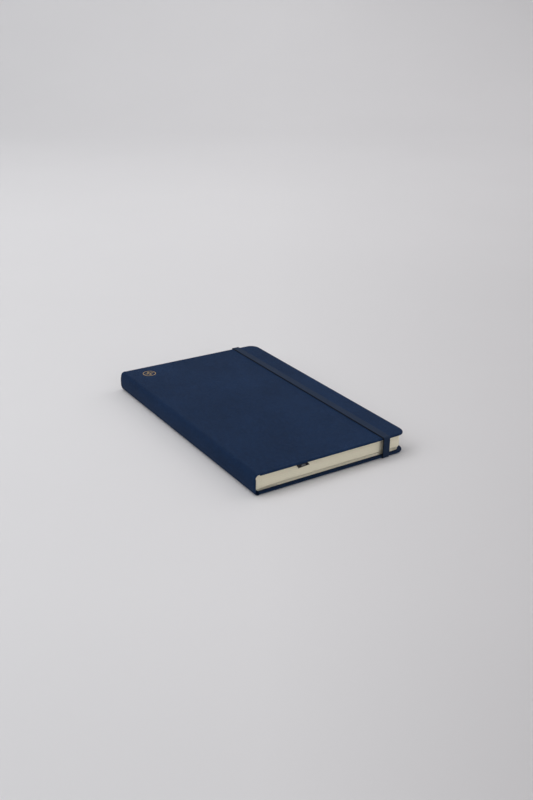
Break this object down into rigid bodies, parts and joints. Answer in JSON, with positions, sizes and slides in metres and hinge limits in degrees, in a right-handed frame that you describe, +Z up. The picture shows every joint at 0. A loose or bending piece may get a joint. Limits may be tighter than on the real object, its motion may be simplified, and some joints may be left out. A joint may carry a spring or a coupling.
{
  "type": "pilot logbook",
  "caption": "Cloth-covered hardback logbook with sewn pages, back pocket, ribbon marker and an elastic closure band; opens flat in the middle.",
  "frame": {"origin": "bottom centre of the closed book, on the outer face of the back cover", "axes": "+X from the spine to the fore-edge, +Y from the tail to the head, +Z up through the closed book, from the back cover to the front cover"},
  "size_m": [0.13, 0.2116, 0.0164],
  "materials": {
    "greyboard": "matt",
    "cover_cloth": "fine woven book cloth",
    "endpaper": "matt",
    "page_paper": "matt",
    "pocket_card": "matt",
    "gusset_cloth": "fine cloth",
    "gauze": "open weave",
    "thread": "matt",
    "ribbon": "satin",
    "elastic": "ribbed",
    "gold_foil": "stamped foil"
  },
  "bodies": {
    "back_cover": {"back_board": "greyboard", "back_cover_cloth": "cover_cloth", "back_pastedown": "endpaper", "pocket_panel": "pocket_card", "pocket_gusset_head": "gusset_cloth", "pocket_gusset_tail": "gusset_cloth", "pocket_hem": "pocket_card", "back_joint_cloth": "cover_cloth", "band_end_head": "elastic", "band_end_tail": "elastic", "band_side_head": "elastic", "band_side_tail": "elastic"},
    "spine": {"spine_strip": "greyboard", "spine_cloth": "cover_cloth", "front_joint_cloth": "cover_cloth"},
    "front_cover": {"front_board": "greyboard", "front_cover_cloth": "cover_cloth", "front_pastedown": "endpaper", "cover_emblem": "gold_foil"},
    "back_pages": {"section_07": "page_paper", "section_08": "page_paper", "section_09": "page_paper", "section_10": "page_paper", "section_11": "page_paper", "section_12": "page_paper", "back_flyleaf": "endpaper", "back_spine_lining": "gauze", "back_sewing_threads": "thread"},
    "front_pages": {"section_01": "page_paper", "section_02": "page_paper", "section_03": "page_paper", "section_04": "page_paper", "section_05": "page_paper", "section_06": "page_paper", "front_flyleaf": "endpaper", "front_spine_lining": "gauze", "front_sewing_threads": "thread", "ribbon_marker": "ribbon"},
    "band": {"band_front_run": "elastic"}
  },
  "joints": [
    {"name": "book_open", "type": "hinge", "parent": "back_pages", "child": "front_pages", "pos_m": [-0.0634, 0, 0.00785], "axis": [0, -1, 0], "range_deg": [0, 180]},
    {"name": "back_pages_shift", "type": "slide", "parent": "back_cover", "child": "back_pages", "axis": [-1, 0, 0], "range_m": [0, 0.00785]},
    {"name": "spine_hinge", "type": "hinge", "parent": "back_cover", "child": "spine", "pos_m": [-0.065, 0, 0], "axis": [0, -1, 0], "range_deg": [0, 90], "deforming": ["back_joint_cloth"]},
    {"name": "front_cover_hinge", "type": "hinge", "parent": "spine", "child": "front_cover", "pos_m": [-0.065, 0, 0.0157], "axis": [0, -1, 0], "range_deg": [0, 90], "deforming": ["front_joint_cloth"]},
    {"name": "band_release", "type": "slide", "parent": "back_cover", "child": "band", "axis": [1, 0, 0], "range_m": [0, 0.03], "stiffness_N_per_m": 30, "deforming": ["band_side_head", "band_side_tail", "band_front_run"]}
  ],
  "couplings": [
    {"joint": "back_pages_shift", "follows": "book_open", "m_per_rad": 0.0024987},
    {"joint": "spine_hinge", "follows": "book_open", "ratio": 0.5},
    {"joint": "front_cover_hinge", "follows": "book_open", "ratio": 0.5}
  ]
}
